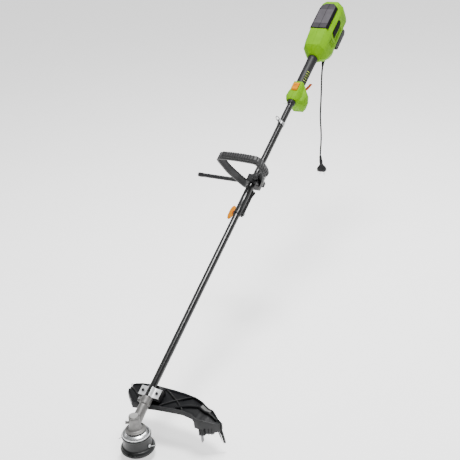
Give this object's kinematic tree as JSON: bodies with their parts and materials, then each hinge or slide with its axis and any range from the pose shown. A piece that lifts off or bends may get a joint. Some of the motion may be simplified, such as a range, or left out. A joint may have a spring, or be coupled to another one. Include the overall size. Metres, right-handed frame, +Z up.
{
  "type": "corded string trimmer",
  "caption": "Corded string trimmer: line head on a bevel gear case, side guard, long split shaft with loop handle and barrier bar, switch grip and rear motor housing.",
  "frame": {"origin": "middle of the bump knob's flat foot, at the floor under the cutting head", "axes": "+Z up along the cutting head's spin axis; the shaft leans 60 degrees from +Z towards +X; the middle plane of the machine is XZ, and +Y is the side that the barrier bar reaches out to"},
  "size_m": [1.7508, 0.528, 1.1319],
  "materials": {
    "lime_plastic": "satin moulded",
    "black_plastic": "moulded, fine grain",
    "black_tube": "gloss black coating",
    "grey_panel": "moulded, fine grain",
    "orange_plastic": "satin moulded",
    "cast_alloy": "as cast",
    "bright_steel": "zinc plated",
    "dark_steel": "blackened",
    "copper": "wound wire",
    "rubber": "soft moulded",
    "line": "drawn"
  },
  "bodies": {
    "machine": {"motor_housing_left": "lime_plastic", "motor_housing_right": "lime_plastic", "switch_housing_left": "lime_plastic", "switch_housing_right": "lime_plastic", "grip_core": "lime_plastic", "badge_left": "black_plastic", "badge_right": "black_plastic", "rear_foot": "black_plastic", "grip_sleeve": "black_plastic", "power_switch": "black_plastic", "coupling_sleeve": "black_plastic", "guard_bracket_base": "black_plastic", "guard": "black_plastic", "upper_tube": "black_tube", "lower_tube": "black_tube", "top_cover": "grey_panel", "gear_case": "cast_alloy", "gear_clamp_bolt": "bright_steel", "line_cutter": "bright_steel", "guard_bracket_top": "bright_steel", "harness_clamp": "bright_steel", "harness_screw": "bright_steel", "front_bearing": "bright_steel", "rear_bearing": "bright_steel", "plug_pin_left": "bright_steel", "plug_pin_right": "bright_steel", "guard_screw_left": "dark_steel", "guard_screw_right": "dark_steel", "motor_stator": "copper", "cord_bush": "rubber", "tube_collar": "rubber", "power_cord": "rubber", "plug_body": "rubber"},
    "rotor": {"motor_armature": "dark_steel", "motor_fan": "black_plastic", "upper_drive_shaft": "bright_steel"},
    "lower_drive": {"lower_drive_shaft": "bright_steel", "pinion_gear": "dark_steel"},
    "cutting_head": {"bevel_gear": "dark_steel", "output_shaft": "bright_steel", "dust_cup": "bright_steel", "spool_housing": "black_plastic", "line_spool": "black_plastic", "eyelet_front": "bright_steel", "eyelet_rear": "bright_steel", "line_end_front": "line", "line_end_rear": "line"},
    "bump": {"bump_knob": "black_plastic"},
    "trigger_lever": {"trigger": "orange_plastic"},
    "lock_off": {"lock_off_button": "orange_plastic"},
    "front_handle": {"handle_clamp_top": "black_plastic", "handle_clamp_base": "black_plastic", "loop_handle": "black_plastic", "handle_grip": "rubber", "barrier_bar": "black_plastic"},
    "handle_screw": {"handle_knob": "black_plastic"},
    "release_lever": {"coupling_lever": "black_plastic"},
    "clamp_knob": {"coupling_knob": "orange_plastic"},
    "strap_ring": {"harness_ring": "bright_steel"}
  },
  "joints": [
    {"name": "rotor_spin", "type": "hinge", "parent": "machine", "child": "rotor", "pos_m": [1.54153, 0, 1.0135], "axis": [0.866, 0, 0.5], "continuous": true},
    {"name": "lower_drive_spin", "type": "hinge", "parent": "machine", "child": "lower_drive", "pos_m": [0.43301, 0, 0.3735], "axis": [0.866, 0, 0.5], "continuous": true},
    {"name": "head_spin", "type": "hinge", "parent": "machine", "child": "cutting_head", "pos_m": [0, 0, 0.06], "axis": [0, 0, 1], "continuous": true},
    {"name": "bump_press", "type": "slide", "parent": "cutting_head", "child": "bump", "axis": [0, 0, 1], "range_m": [0, 0.006], "stiffness_N_per_m": 600, "springref_m": -0.004},
    {"name": "trigger_pull", "type": "hinge", "parent": "machine", "child": "trigger_lever", "pos_m": [1.31021, 0, 0.84415], "axis": [0, -1, 0], "range_deg": [0, 14], "stiffness_Nm_per_rad": 0.6, "springref_deg": -8.59},
    {"name": "lock_off_press", "type": "slide", "parent": "machine", "child": "lock_off", "axis": [0.5, 0, -0.866], "range_m": [0, 0.003], "stiffness_N_per_m": 500, "springref_m": -0.002},
    {"name": "handle_slide", "type": "slide", "parent": "machine", "child": "front_handle", "axis": [0.866, 0, 0.5], "range_m": [-0.012, 0.15]},
    {"name": "handle_screw_turn", "type": "hinge", "parent": "front_handle", "child": "handle_screw", "pos_m": [0.85795, -0.02, 0.65348], "axis": [-0.5, 0, 0.866], "continuous": true},
    {"name": "release_lever_lift", "type": "hinge", "parent": "machine", "child": "release_lever", "pos_m": [0.75242, -0.01527, 0.54027], "axis": [0.3536, 0.7071, -0.6124], "range_deg": [0, 12]},
    {"name": "clamp_knob_turn", "type": "hinge", "parent": "machine", "child": "clamp_knob", "pos_m": [0.74462, 0.022, 0.54879], "axis": [0, 1, 0], "continuous": true},
    {"name": "strap_ring_swing", "type": "hinge", "parent": "machine", "child": "strap_ring", "pos_m": [1.10567, 0, 0.78842], "axis": [0, 1, 0], "range_deg": [-50, 60]}
  ],
  "couplings": [
    {"joint": "lower_drive_spin", "follows": "rotor_spin", "ratio": 1},
    {"joint": "head_spin", "follows": "rotor_spin", "ratio": 0.73333}
  ]
}
